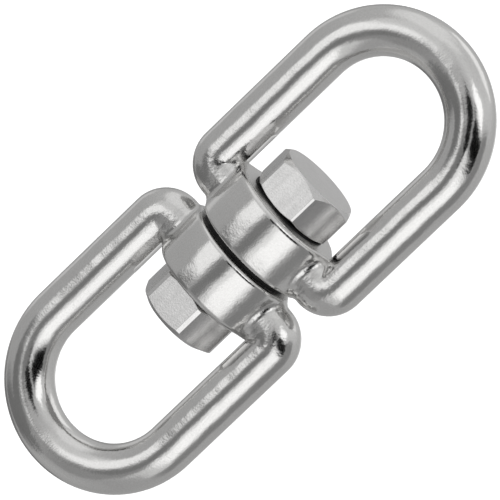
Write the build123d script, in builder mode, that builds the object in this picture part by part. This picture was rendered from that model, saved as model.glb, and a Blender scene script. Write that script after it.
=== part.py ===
from build123d import *
import os
from math import cos, radians, sin, sqrt, tan

# Eye-and-eye anchor swivel, all in millimetres.
# +Z is the swivel axis and points to the upper eye. The origin is on that axis, at the middle of the gap
# between the two bosses, and both eyes lie in the XZ plane. The swivel hangs by its upper eye: the bolt's head
# rests on the upper boss, and the nut at the bolt's lower end carries the lower eye.

# ---- driving dimensions: the two eyes, which are one and the same casting ----
overall_length = 118.6      # over both crowns
rod_dia = 10.0              # round bar that the eyes are made of
eye_inner_width = 25.0      # clear width between the legs of an eye
shoulder_bend = 3.2         # bend radius of the bar's centreline where leg turns into arm
arm_clear = 0.7             # the arm's lowest line above the boss's inner face
boss_dia = 25.0
boss_length = 11.0
boss_crown = 0.2            # radial, how far the boss's side bulges between its two faces
boss_inner_round = 1.0      # rounding of the boss's rim beside the gap
boss_outer_round = 1.2      # rounding of the boss's rim under the bolt head or nut
cast_fillet = 1.7           # where the arm leaves the boss
spot_bite = 0.3             # how far the spot-facing cutter bites into each leg
spot_height = 9.1           # height of the cutter, from the boss's face up the legs
spot_round = 2.0            # rounding of the cutter's far edge
bore_chamfer = 0.4

# ---- driving dimensions: bolt, nut and pin ----
bolt_dia = 10.0
thread_depth = 0.5          # radial, from the shank down to the mean line of the thread, which is left smooth
thread_lead = 1.0           # how far the thread starts inside the lower boss
across_flats = 17.0
head_corner_cut = 0.15      # radial, how far the corners of the head's hexagon are flattened
nut_corner_cut = 0.27       # the same for the nut
face_inset = 0.2            # radial, from the flats in to the round end faces of head and nut
nut_end_inset = 1.3         # the same for the nut's free end, which is chamfered deeper
head_height = 8.25
nut_height = 8.25
top_chamfer = 42.0          # slope of the chamfer on the free end of the head, in degrees
hex_chamfer = 30.0          # slope of the other chamfers of the hexagons, in degrees
hex_edge_round = 0.15       # rounding of every edge of the head and of the nut's outside
head_turn = -7.0            # how far a corner of the head is turned from +X, in degrees
nut_turn = -5.0             # the same for the nut
bolt_show = 0.5             # how far the bolt's end stands out of the nut
bolt_end_chamfer = 0.8
pin_dia = 2.5
pin_wall = 0.5
pin_slot = 0.6
pin_bite = 2.4              # how far the pin goes into the bolt's thread
pin_sunk = 0.2              # how far the pin's outer end lies below the nut's flat
pin_hole_spare = 0.3        # how much deeper the hole in the bolt is than the pin

# ---- driving dimensions: washers and running clearances ----
seat_washer_dia = 17.7
seat_washer_thickness = 0.3
centre_washer_dia = 21.0
centre_washer_thickness = 0.8
end_float = 0.15            # how far the bolt and lower eye can rise together
float_margin = 0.05         # left between washer and boss at the top of that travel
bore_clearance = 0.05       # radial, bolt in boss
washer_clearance = 0.25     # radial, bolt in washer
thread_clearance = 0.02     # radial, bolt in nut
pin_clearance = 0.01        # radial, pin in its hole

# ---- worked out from those: the eyes ----
rod_r = rod_dia / 2
boss_r = boss_dia / 2
leg_x = eye_inner_width / 2 + rod_r
crown_z = overall_length / 2 - rod_r - leg_x
boss_gap = centre_washer_thickness + end_float + float_margin
inner_face_z = boss_gap / 2
outer_face_z = inner_face_z + boss_length
arm_z = inner_face_z + arm_clear + rod_r
bend_x = leg_x - shoulder_bend
bend_z = arm_z + shoulder_bend
cutter_r = eye_inner_width / 2 + spot_bite
bar_end_x = leg_x + rod_r

# The boss is cut from a longer barrel-shaped post, whose side is one arc through the boss's crown.
barrel_r = boss_length**2 / (8 * boss_crown) + boss_crown / 2
post_middle_z = inner_face_z + boss_length / 2
post_reach = boss_length / 2 + 2 * rod_dia
post_end_r = boss_r - barrel_r + sqrt(barrel_r**2 - post_reach**2)

# ---- worked out from those: the bolt, its nut and washers ----
bolt_r = bolt_dia / 2
thread_r = bolt_r - thread_depth
bore_r = bolt_r + bore_clearance
washer_hole_r = bolt_r + washer_clearance
head_corner_r = across_flats / sqrt(3) - head_corner_cut
nut_corner_r = across_flats / sqrt(3) - nut_corner_cut
face_r = across_flats / 2 - face_inset
nut_end_r = across_flats / 2 - nut_end_inset
seat_z = outer_face_z + seat_washer_thickness
head_top_z = seat_z + head_height
nut_end_z = -seat_z - nut_height
bolt_end_z = nut_end_z - bolt_show
thread_start_z = -outer_face_z + thread_lead

# The pin lies across the middle of the nut, square to one flat: a plane whose normal points out along it.
pin_r = pin_dia / 2
pin_hole_r = pin_r + pin_clearance
pin_root = thread_r - pin_bite
pin_tip = across_flats / 2 - pin_sunk
pin_angle = radians(nut_turn + 90)
pin_plane = Plane(
    origin=(0, 0, -seat_z - nut_height / 2),
    x_dir=(0, 0, 1),
    z_dir=(cos(pin_angle), sin(pin_angle), 0),
)

os.makedirs("parts", exist_ok=True)


def finish(piece, name):
    """Label a finished piece and write it as one STEP file."""
    piece.label = name
    export_step(piece, f"parts/{name}.step")


def blank_outline(corner_r, low, high):
    """Half section of the round blank that chamfers a hexagon's ends and flattens its corners.

    low and high are an end's height, the radius of its round face and the slope of its chamfer.
    """
    low_z, low_r, low_slope = low
    high_z, high_r, high_slope = high
    low_rise = (corner_r - low_r) * tan(radians(low_slope))
    high_drop = (corner_r - high_r) * tan(radians(high_slope))
    return [
        (0, low_z),
        (low_r, low_z),
        (corner_r, low_z + low_rise),
        (corner_r, high_z - high_drop),
        (high_r, high_z),
        (0, high_z),
    ]


# ---- upper eye ----
with BuildPart() as upper_eye:
    # a post and a bar across it, both longer than they end up, so that the cast fillets between them close
    with BuildSketch(Plane.XZ):
        with BuildLine():
            foot = (post_end_r, post_middle_z - post_reach)
            top = (post_end_r, post_middle_z + post_reach)
            ThreePointArc(foot, (boss_r, post_middle_z), top)
            Polyline(top, (0, top[1]), (0, foot[1]), foot)
        make_face()
    revolve(axis=Axis.Z)
    with BuildSketch(Plane.YZ):
        with Locations((0, arm_z)):
            Circle(rod_r)
    extrude(amount=bar_end_x, both=True)
    fillet(upper_eye.edges().filter_by(GeomType.BSPLINE), cast_fillet)
    # cut back to the boss's two faces, the rims rounded, and the bar cut back to the start of the bends
    with BuildSketch(Plane.XY.offset(inner_face_z)):
        Rectangle(2 * bar_end_x, 2 * boss_dia)
    extrude(amount=boss_length, mode=Mode.INTERSECT)
    fillet(upper_eye.faces().sort_by(Axis.Z)[0].edges(), boss_inner_round)
    fillet(upper_eye.faces().sort_by(Axis.Z)[-1].edges(), boss_outer_round)
    with BuildSketch(Plane.XY.offset(inner_face_z)):
        Circle(boss_r)
        Rectangle(2 * bend_x, 2 * boss_dia)
    extrude(amount=boss_length, mode=Mode.INTERSECT)
    # shoulders: the part of the bar outside the bend's axis, turned a quarter about that axis
    for side in (1, -1):
        with BuildSketch(Plane.XY.offset(bend_z)):
            with Locations((side * leg_x, 0)):
                Circle(rod_r)
            with Locations((side * (bend_x - rod_r), 0)):
                Rectangle(rod_dia, rod_dia, mode=Mode.SUBTRACT)
        revolve(axis=Axis((side * bend_x, 0, bend_z), (0, side, 0)), revolution_arc=90)
    # legs and crown
    with BuildSketch(Plane.XY.offset(bend_z)):
        with Locations((leg_x, 0), (-leg_x, 0)):
            Circle(rod_r)
    extrude(amount=crown_z - bend_z)
    with BuildSketch(Plane.XY.offset(crown_z)):
        with Locations((leg_x, 0)):
            Circle(rod_r)
    revolve(axis=Axis((0, 0, crown_z), (0, -1, 0)), revolution_arc=180)
    # spot face, cut by a round cutter that also leaves a shallow facet on the inner side of each leg
    with BuildSketch(Plane.XZ) as cutter:
        with Locations((0, outer_face_z)):
            Rectangle(cutter_r, spot_height, align=(Align.MIN, Align.MIN))
        fillet(cutter.vertices().group_by(Axis.Y)[-1].sort_by(Axis.X)[-1], spot_round)
    revolve(axis=Axis.Z, mode=Mode.SUBTRACT)
    # bore for the bolt
    with BuildSketch():
        Circle(bore_r)
    extrude(amount=outer_face_z, mode=Mode.SUBTRACT)
    chamfer(upper_eye.edges(Select.LAST).filter_by(GeomType.CIRCLE), bore_chamfer)
finish(upper_eye.part, "upper_eye")

# ---- lower eye: the same casting, turned over ----
with BuildPart() as lower_eye:
    add(upper_eye.part.rotate(Axis.X, 180))
finish(lower_eye.part, "lower_eye")

# ---- swivel bolt: hexagon head, plain shank through both bosses, and threaded end ----
with BuildPart() as swivel_bolt:
    with BuildSketch(Plane.XY.offset(seat_z)):
        RegularPolygon(across_flats / 2, 6, major_radius=False, rotation=head_turn)
    extrude(amount=head_height)
    with BuildSketch(Plane.XZ):
        with BuildLine():
            low = (seat_z, face_r, hex_chamfer)
            high = (head_top_z, face_r, top_chamfer)
            Polyline(blank_outline(head_corner_r, low, high), close=True)
        make_face()
    revolve(axis=Axis.Z, mode=Mode.INTERSECT)
    fillet(swivel_bolt.edges(), hex_edge_round)
    with BuildSketch(Plane.XY.offset(thread_start_z)):
        Circle(bolt_r)
    extrude(amount=seat_z - thread_start_z)
    with BuildSketch(Plane.XY.offset(bolt_end_z)):
        Circle(thread_r)
    extrude(amount=thread_start_z - bolt_end_z)
    chamfer(swivel_bolt.faces().sort_by(Axis.Z)[0].edges(), bolt_end_chamfer)
    with BuildSketch(pin_plane.offset(pin_root - pin_hole_spare)):
        Circle(pin_hole_r)
    extrude(amount=bolt_r, mode=Mode.SUBTRACT)
finish(swivel_bolt.part, "swivel_bolt")

# ---- swivel nut, run up the thread until only the end float is left ----
with BuildPart() as swivel_nut:
    with BuildSketch(Plane.XY.offset(nut_end_z)):
        RegularPolygon(across_flats / 2, 6, major_radius=False, rotation=nut_turn)
    extrude(amount=nut_height)
    with BuildSketch(Plane.XZ):
        with BuildLine():
            low = (nut_end_z, nut_end_r, hex_chamfer)
            high = (-seat_z, face_r, hex_chamfer)
            Polyline(blank_outline(nut_corner_r, low, high), close=True)
        make_face()
    revolve(axis=Axis.Z, mode=Mode.INTERSECT)
    fillet(swivel_nut.edges(), hex_edge_round)
    with BuildSketch(Plane.XY.offset(nut_end_z)):
        Circle(thread_r + thread_clearance)
    extrude(amount=nut_height, mode=Mode.SUBTRACT)
    chamfer(swivel_nut.edges(Select.LAST).filter_by(GeomType.CIRCLE), bore_chamfer)
    with BuildSketch(pin_plane):
        Circle(pin_hole_r)
    extrude(amount=across_flats, mode=Mode.SUBTRACT)
finish(swivel_nut.part, "swivel_nut")

# ---- lock pin: a slotted spring pin through the nut's wall into the bolt ----
with BuildPart() as lock_pin:
    with BuildSketch(pin_plane.offset(pin_root)):
        Circle(pin_r)
        Circle(pin_r - pin_wall, mode=Mode.SUBTRACT)
        with Locations((pin_r, 0)):
            Rectangle(pin_dia, pin_slot, mode=Mode.SUBTRACT)
    extrude(amount=pin_tip - pin_root)
finish(lock_pin.part, "lock_pin")

# ---- washers: one under the head, one over the nut, one between the bosses ----
with BuildPart() as head_washer:
    with BuildSketch(Plane.XY.offset(outer_face_z)):
        Circle(seat_washer_dia / 2)
        Circle(washer_hole_r, mode=Mode.SUBTRACT)
    extrude(amount=seat_washer_thickness)
finish(head_washer.part, "head_washer")

with BuildPart() as nut_washer:
    with BuildSketch(Plane.XY.offset(-seat_z)):
        Circle(seat_washer_dia / 2)
        Circle(washer_hole_r, mode=Mode.SUBTRACT)
    extrude(amount=seat_washer_thickness)
finish(nut_washer.part, "nut_washer")

with BuildPart() as centre_washer:
    with BuildSketch(Plane.XY.offset(-inner_face_z)):
        Circle(centre_washer_dia / 2)
        Circle(washer_hole_r, mode=Mode.SUBTRACT)
    extrude(amount=centre_washer_thickness)
finish(centre_washer.part, "centre_washer")
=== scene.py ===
from collections import namedtuple
from math import cos, radians, sin

import bpy
from mathutils import Matrix, Vector


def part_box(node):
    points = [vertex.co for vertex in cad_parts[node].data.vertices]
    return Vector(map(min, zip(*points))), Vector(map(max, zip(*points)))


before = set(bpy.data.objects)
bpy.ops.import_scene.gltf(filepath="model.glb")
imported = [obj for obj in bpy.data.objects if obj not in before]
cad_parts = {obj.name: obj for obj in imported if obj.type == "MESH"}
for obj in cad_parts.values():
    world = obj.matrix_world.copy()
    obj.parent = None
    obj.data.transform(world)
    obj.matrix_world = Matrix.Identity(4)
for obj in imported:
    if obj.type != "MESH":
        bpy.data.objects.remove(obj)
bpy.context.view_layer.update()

# ---- camera: where it stands round the object, how it is rolled, and its lens ----
CAMERA_AZIMUTH = radians(13.37)
CAMERA_ELEVATION = radians(13.41)
CAMERA_ROLL = radians(46.25)
CAMERA_DISTANCE = 1.0
LENS_MM = 374.0
SENSOR_MM = 36.0
SHIFT_X = 0.0061
SHIFT_Y = 0.0031

# ---- floor: plain and pale, well below the hanging swivel ----
FLOOR_Z = -0.60
FLOOR_SIZE = 20.0
FLOOR_WHITE = 0.93
FLOOR_ROUGHNESS = 0.9
FLOOR_GLOW = 0.6

# ---- studio: a pale room round the object, with soft panels and dark flags in it ----
# Angles are in degrees. Azimuth 0 is -Y and grows towards +X. A grey, from 0 to 255, is what a screen shows
# where polished steel mirrors that part of the room.
METAL_REFLECTS = 0.74
BACKDROP = 1.0
ROOM_BY_ELEVATION = [(-90, 158), (-55, 146), (-25, 150), (0, 158), (30, 166), (55, 186), (90, 178)]
Panel = namedtuple("Panel", "name azimuth elevation half_width half_height soft_edge grey")
PANELS = [
    Panel("overhead_softbox", -75, 53, 50, 20, 16, 204),
    Panel("left_strip", -30, 4, 16, 20, 8, 230),
    Panel("left_strip_glow", -33, 24, 20, 14, 16, 190),
    Panel("low_left_shade", -34, -40, 16, 22, 9, 106),
    Panel("floor_left_shade", -75, -60, 42, 14, 14, 104),
    Panel("low_shade", 5, -38, 17, 22, 8, 130),
    Panel("right_shade", 88, 6, 16, 36, 12, 120),
    Panel("camera_flag", 9, 12, 9, 15, 6, 20),
    Panel("camera_stand", 1, -16, 10, 14, 7, 112),
    Panel("right_flag", 47, 22, 24, 12, 5, 4),
    Panel("high_right_softbox", 40, 48, 22, 10, 6, 255),
    Panel("low_right_glow", 50, -27, 26, 10, 12, 188),
    Panel("low_right_softbox", 42, -8, 26, 14, 5, 214),
    Panel("low_right_lamp", 44, -9, 17, 12, 9, 246),
    Panel("back_right_softbox", 176, -6, 10, 16, 8, 190),
    Panel("back_high_softbox", 178, 60, 36, 12, 8, 225),
    Panel("back_stand", -166, -14, 4, 13, 6, 70),
    Panel("back_left_strip", -118, -6, 9, 16, 8, 182),
    Panel("back_left_shade", -148, -4, 12, 18, 10, 138),
    Panel("back_low_shade", -150, -42, 24, 12, 10, 105),
]

# ---- places on the eyes, in metres ----
BOSS_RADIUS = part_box("upper_eye")[1][1]
INNER_FACE_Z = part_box("upper_eye")[0][2]
OUTER_FACE_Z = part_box("head_washer")[0][2]
HOLLOW_X = BOSS_RADIUS + 0.0020     # middle of the hollow between an arm and its boss
HOLLOW_Z = INNER_FACE_Z + 0.0060
HOLLOW_SPAN = (0.0030, 0.0070)      # distances from its middle where the dullness begins and ends to fade
FACED_SPAN = (OUTER_FACE_Z + 0.0007, OUTER_FACE_Z + 0.0009)     # no turned face of an eye is higher

# ---- marks of turning ----
SQUARE_SPAN = (0.990, 0.999)        # the normal's part along the axis where the marks begin and are full
RING_PHASE = 11400                  # radians in a metre of radius, for rings 0.55 mm apart
RING_WOBBLE = 2.5                   # radians

# ---- colours, dull or dark first ----
CAST_COLOURS = (0.69, 0.685, 0.675), (0.78, 0.775, 0.765)
MACHINED_COLOURS = (0.69, 0.685, 0.68), (0.78, 0.775, 0.77)
SPRING_COLOURS = (0.34, 0.33, 0.32), (0.52, 0.51, 0.50)
# near black: partly the nylon's own colour, partly painted shade for the dark gaps at the head, the nut and
# between the bosses
PLASTIC_AND_GAP_SHADE_COLOURS = (0.004, 0.004, 0.004), (0.014, 0.014, 0.013)
SPECKLE_SHARE = 0.7                 # speckle and clouds are added up in these shares
CLOUD_SHARE = 0.6
TONE_SPAN = (0.42, 0.88)            # and their sum is carried from the dull steel to the bright

# ---- roughness, between the two ends of a cloudy or streaky noise, and what is added to it ----
NOISE_SPAN = (0.3, 0.7)             # what counts as the two ends of a noise
STREAK_SPAN = (0.35, 0.65)
RUBBED_SPAN = (0.45, 0.7)
CAST_ROUGHNESS = (0.10, 0.17)
HOLLOW_ROUGHNESS = 0.05             # added in the hollows
HOLLOW_PEEL = 4.0                   # times its depth, added to the peel in the hollows
SPOT_FACE_ROUGHNESS = 0.22          # added on the turned faces of the eyes
MACHINED_ROUGHNESS = (0.17, 0.23)
END_FACE_ROUGHNESS = 0.26           # added on the turned ends of bolt and nut
SPRING_ROUGHNESS = (0.28, 0.42)
PLASTIC_ROUGHNESS = (0.62, 0.45)
PLASTIC_SPECULAR = 0.25


def linear(grey):
    """Light of a grey that is given from 0 to 255 as a screen shows it."""
    return (grey / 255) ** 2.2


class Graph:
    """Short calls for making and joining shader nodes in one node tree."""

    def __init__(self, tree):
        self.tree = tree
        tree.nodes.clear()

    def node(self, kind, inputs=None, **settings):
        """A node with its inputs linked or set, and with its own settings."""
        made = self.tree.nodes.new(kind)
        for name, value in settings.items():
            setattr(made, name, value)
        for key, value in (inputs or {}).items():
            if isinstance(value, bpy.types.NodeSocket):
                self.tree.links.new(value, made.inputs[key])
            else:
                made.inputs[key].default_value = value
        return made

    def coordinates(self, kind):
        return self.node("ShaderNodeTexCoord").outputs[kind]

    def split(self, vector):
        return self.node("ShaderNodeSeparateXYZ", {0: vector}).outputs

    def math(self, operation, a, b=0.0, c=0.0, clamp=False):
        inputs = {0: a, 1: b, 2: c}
        return self.node("ShaderNodeMath", inputs, operation=operation, use_clamp=clamp).outputs[0]

    def distance(self, a, b):
        """Length of the plane vector (a, b)."""
        squares = self.math("ADD", self.math("MULTIPLY", a, a), self.math("MULTIPLY", b, b))
        return self.math("SQRT", squares)

    def ramp(self, factor, stops):
        """A grey ramp through (place, value) stops."""
        made = self.node("ShaderNodeValToRGB", {0: factor})
        elements = made.color_ramp.elements
        while len(elements) < len(stops):
            elements.new(0.5)
        for element, (place, value) in zip(elements, stops):
            element.position = place
            element.color = (value, value, value, 1)
        return made.outputs[0]

    def carry(self, value, span, result=(0.0, 1.0)):
        """value carried from span's two ends to result's, and held beyond them."""
        inputs = {
            "Value": value,
            "From Min": span[0],
            "From Max": span[1],
            "To Min": result[0],
            "To Max": result[1],
        }
        return self.node("ShaderNodeMapRange", inputs).outputs["Result"]

    def number(self, factor, first, second):
        """A number between first and second."""
        inputs = {0: factor, 2: first, 3: second}
        return self.node("ShaderNodeMix", inputs, data_type="FLOAT").outputs[0]

    def colour(self, factor, first, second):
        """A colour between first and second."""
        inputs = {0: factor, 6: (*first, 1), 7: (*second, 1)}
        return self.node("ShaderNodeMix", inputs, data_type="RGBA").outputs[2]

    def noise(self, place, size_mm, detail=2.0, rough=0.5, stretch=None):
        """Noise with features about size_mm long; a stretch under 1 lengthens them along that axis."""
        if stretch is not None:
            place = self.node("ShaderNodeMapping", {"Vector": place, "Scale": stretch}).outputs[0]
        inputs = {"Vector": place, "Scale": 1000 / size_mm, "Detail": detail, "Roughness": rough}
        return self.node("ShaderNodeTexNoise", inputs).outputs["Fac"]

    def bumps(self, layers):
        """Layers of (height, depth in mm), one on the other; gives the last one's normal."""
        inputs = {}
        for height, depth_mm in layers:
            inputs["Height"] = height
            inputs["Distance"] = depth_mm / 1000
            inputs["Normal"] = self.node("ShaderNodeBump", inputs).outputs[0]
        return inputs["Normal"]

    def surface(self, inputs):
        """End the tree in one principled shader."""
        shader = self.node("ShaderNodeBsdfPrincipled", inputs)
        self.node("ShaderNodeOutputMaterial", {"Surface": shader.outputs[0]})


def add_camera():
    """A long lens, aimed at the origin and rolled about its own line of sight."""
    back = Vector((
        sin(CAMERA_AZIMUTH) * cos(CAMERA_ELEVATION),
        -cos(CAMERA_AZIMUTH) * cos(CAMERA_ELEVATION),
        sin(CAMERA_ELEVATION),
    ))
    level = Vector((0, 0, 1)).cross(back).normalized()
    upright = back.cross(level)
    right = cos(CAMERA_ROLL) * level + sin(CAMERA_ROLL) * upright
    up = cos(CAMERA_ROLL) * upright - sin(CAMERA_ROLL) * level
    data = bpy.data.cameras.new("camera")
    data.lens = LENS_MM
    data.sensor_width = SENSOR_MM
    data.shift_x = SHIFT_X
    data.shift_y = SHIFT_Y
    camera = bpy.data.objects.new("camera", data)
    turn = Matrix((right, up, back)).transposed().to_4x4()
    camera.matrix_world = Matrix.Translation(back * CAMERA_DISTANCE) @ turn
    bpy.context.scene.collection.objects.link(camera)
    bpy.context.scene.camera = camera


def panel_mask(graph, azimuth, elevation, panel):
    """1 inside a soft-edged panel of the room and 0 outside it."""
    across = graph.math("WRAP", graph.math("SUBTRACT", azimuth, panel.azimuth), 180.0, -180.0)
    upward = graph.math("SUBTRACT", elevation, panel.elevation)
    sides = []
    for offset, half in ((across, panel.half_width), (upward, panel.half_height)):
        inside = graph.math("SUBTRACT", half + panel.soft_edge / 2, graph.math("ABSOLUTE", offset))
        sides.append(graph.math("DIVIDE", inside, panel.soft_edge, clamp=True))
    inputs = {"Value": graph.math("MULTIPLY", *sides)}
    return graph.node("ShaderNodeMapRange", inputs, interpolation_type="SMOOTHSTEP").outputs["Result"]


def add_room():
    """The world: a pale backdrop to look at, and the room with its panels for light and reflections."""
    world = bpy.data.worlds.new("studio")
    bpy.context.scene.world = world
    world.use_nodes = True
    graph = Graph(world.node_tree)
    x, y, z = graph.split(graph.coordinates("Generated"))
    azimuth = graph.math("DEGREES", graph.math("ARCTAN2", x, graph.math("MULTIPLY", y, -1.0)))
    elevation = graph.math("DEGREES", graph.math("ARCSINE", z))
    # the ramp runs from straight down, at 0, to straight up, at 1
    stops = [((angle + 90) / 180, linear(grey) / METAL_REFLECTS) for angle, grey in ROOM_BY_ELEVATION]
    light = graph.ramp(graph.math("MULTIPLY_ADD", elevation, 1 / 180, 0.5), stops)
    for panel in PANELS:
        mask = panel_mask(graph, azimuth, elevation, panel)
        light = graph.number(mask, light, linear(panel.grey) / METAL_REFLECTS)
    seen = graph.node("ShaderNodeLightPath").outputs["Is Camera Ray"]
    background = graph.node("ShaderNodeBackground", {"Color": graph.number(seen, light, BACKDROP)})
    graph.node("ShaderNodeOutputWorld", {"Surface": background.outputs[0]})


def new_material(name):
    """A material, and the graph of its emptied node tree."""
    material = bpy.data.materials.new(name)
    material.use_nodes = True
    return material, Graph(material.node_tree)


def add_floor():
    """A wide pale floor under the hanging swivel, kept out of the steel's reflections."""
    material, graph = new_material("floor")
    graph.surface({
        "Base Color": (FLOOR_WHITE, FLOOR_WHITE, FLOOR_WHITE, 1),
        "Roughness": FLOOR_ROUGHNESS,
        "Emission Color": (1, 1, 1, 1),
        "Emission Strength": FLOOR_GLOW,
    })
    half = FLOOR_SIZE / 2
    corners = [(x * half, y * half, FLOOR_Z) for x, y in ((-1, -1), (1, -1), (1, 1), (-1, 1))]
    mesh = bpy.data.meshes.new("floor")
    mesh.from_pydata(corners, [], [(0, 1, 2, 3)])
    mesh.materials.append(material)
    floor = bpy.data.objects.new("floor", mesh)
    floor.visible_glossy = False
    bpy.context.scene.collection.objects.link(floor)


def hollow_mask(graph, place):
    """1 in the hollows where an arm leaves its boss, which a polishing wheel hardly reaches."""
    x, y, z = graph.split(place)
    from_x = graph.math("SUBTRACT", graph.math("ABSOLUTE", x), HOLLOW_X)
    from_z = graph.math("SUBTRACT", graph.math("ABSOLUTE", z), HOLLOW_Z)
    return graph.carry(graph.distance(from_x, from_z), HOLLOW_SPAN, (1.0, 0.0))


def turning_marks(graph, place):
    """1 on faces that lie square to the axis and 0 elsewhere, and the fine rings that a tool left there."""
    along_axis = graph.math("ABSOLUTE", graph.split(graph.coordinates("Normal"))[2])
    square = graph.carry(along_axis, SQUARE_SPAN)
    x, y, z = graph.split(place)
    wobble = graph.math("MULTIPLY", graph.noise(place, size_mm=1.5), RING_WOBBLE)
    phase = graph.math("MULTIPLY_ADD", graph.distance(x, y), RING_PHASE, wobble)
    return square, graph.math("MULTIPLY", graph.math("SINE", phase), square)


def steel_colour(graph, place, cloudy, colours):
    """Mottled steel: cloudy patches with a fine speckle over them."""
    speckle = graph.noise(place, size_mm=0.32)
    tone = graph.math("MULTIPLY_ADD", speckle, SPECKLE_SHARE, graph.math("MULTIPLY", cloudy, CLOUD_SHARE))
    return graph.colour(graph.carry(tone, TONE_SPAN), *colours)


def polished_casting():
    """Cast stainless steel, polished by hand: lumpy, with a fine peel and grain, duller in the hollows."""
    material, graph = new_material("polished_casting")
    place = graph.coordinates("Object")
    hollow = hollow_mask(graph, place)
    square, rings = turning_marks(graph, place)
    height = graph.math("ABSOLUTE", graph.split(place)[2])
    on_boss = graph.carry(height, FACED_SPAN, (1.0, 0.0))
    turned = graph.math("MULTIPLY", square, on_boss)
    rings = graph.math("MULTIPLY", rings, on_boss)
    cast = graph.math("SUBTRACT", 1.0, turned)
    lumps = graph.math("MULTIPLY", graph.noise(place, size_mm=7.0, detail=1.0), cast)
    ripples = graph.math("MULTIPLY", graph.noise(place, size_mm=2.4, detail=1.0), cast)
    deeper = graph.math("MULTIPLY_ADD", hollow, HOLLOW_PEEL, 1.0)
    peel = graph.math("MULTIPLY", graph.noise(place, size_mm=0.9), deeper)
    peel = graph.math("MULTIPLY", peel, cast)
    grain = graph.noise(place, size_mm=0.36, detail=1.0)
    relief = [(lumps, 0.20), (ripples, 0.022), (peel, 0.013), (grain, 0.012), (rings, 0.0012)]
    cloudy = graph.noise(place, size_mm=11.0, detail=5.0, rough=0.7)
    rough = graph.carry(cloudy, NOISE_SPAN, CAST_ROUGHNESS)
    rough = graph.math("MULTIPLY_ADD", hollow, HOLLOW_ROUGHNESS, rough)
    rough = graph.math("MULTIPLY_ADD", turned, SPOT_FACE_ROUGHNESS, rough)
    graph.surface({
        "Base Color": steel_colour(graph, place, cloudy, CAST_COLOURS),
        "Metallic": 1.0,
        "Roughness": rough,
        "Normal": graph.bumps(relief),
    })
    return material


def satin_steel():
    """Machined stainless steel: blasted grain and faint streaks on the flats, turned rings on the ends."""
    material, graph = new_material("satin_steel")
    place = graph.coordinates("Object")
    square, rings = turning_marks(graph, place)
    dents = graph.noise(place, size_mm=5.0, detail=1.0)
    streaks = graph.noise(place, size_mm=0.9, stretch=(1, 1, 0.15))
    grain = graph.noise(place, size_mm=0.34, detail=1.0)
    relief = [(dents, 0.02), (streaks, 0.003), (grain, 0.010), (rings, 0.0014)]
    cloudy = graph.noise(place, size_mm=5.0, detail=4.0, rough=0.65)
    rough = graph.carry(streaks, STREAK_SPAN, MACHINED_ROUGHNESS)
    rough = graph.math("MULTIPLY_ADD", square, END_FACE_ROUGHNESS, rough)
    graph.surface({
        "Base Color": steel_colour(graph, place, cloudy, MACHINED_COLOURS),
        "Metallic": 1.0,
        "Roughness": rough,
        "Normal": graph.bumps(relief),
    })
    return material


def spring_steel():
    """Rolled spring steel of the slotted pin: darker, with drawn lines along it."""
    material, graph = new_material("spring_steel")
    place = graph.coordinates("Object")
    lines = graph.noise(place, size_mm=0.25, stretch=(1, 0.15, 1))
    cloudy = graph.noise(place, size_mm=1.5, detail=3.0)
    graph.surface({
        "Base Color": graph.colour(cloudy, *SPRING_COLOURS),
        "Metallic": 1.0,
        "Roughness": graph.carry(lines, NOISE_SPAN, SPRING_ROUGHNESS),
        "Normal": graph.bumps([(lines, 0.006)]),
    })
    return material


def black_plastic_and_gap_shade():
    """Moulded black nylon, made near black so that the washers also stand for the painted shade in the gaps
    at the head, the nut and between the bosses: matt, with a slight grain and rubbed lighter patches.
    """
    material, graph = new_material("black_plastic_and_gap_shade")
    place = graph.coordinates("Object")
    grain = graph.noise(place, size_mm=0.3)
    rubbed = graph.noise(place, size_mm=3.0, detail=4.0, rough=0.6)
    graph.surface({
        "Base Color": graph.colour(graph.carry(rubbed, RUBBED_SPAN), *PLASTIC_AND_GAP_SHADE_COLOURS),
        "Roughness": graph.carry(rubbed, NOISE_SPAN, PLASTIC_ROUGHNESS),
        "Specular IOR Level": PLASTIC_SPECULAR,
        "Normal": graph.bumps([(grain, 0.006)]),
    })
    return material


def finish_nodes(names, material):
    """Give CAD nodes a material in place of their plain one."""
    for name in names:
        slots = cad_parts[name].data.materials
        slots.clear()
        slots.append(material)


add_camera()
add_room()
add_floor()
finish_nodes(["upper_eye", "lower_eye"], polished_casting())
finish_nodes(["swivel_bolt", "swivel_nut"], satin_steel())
finish_nodes(["lock_pin"], spring_steel())
# the washers' near-black colour is partly painted shade, standing for the dark gaps at the head, the nut
# and between the bosses
finish_nodes(["head_washer", "nut_washer", "centre_washer"], black_plastic_and_gap_shade())
bpy.context.scene.view_settings.view_transform = "Standard"
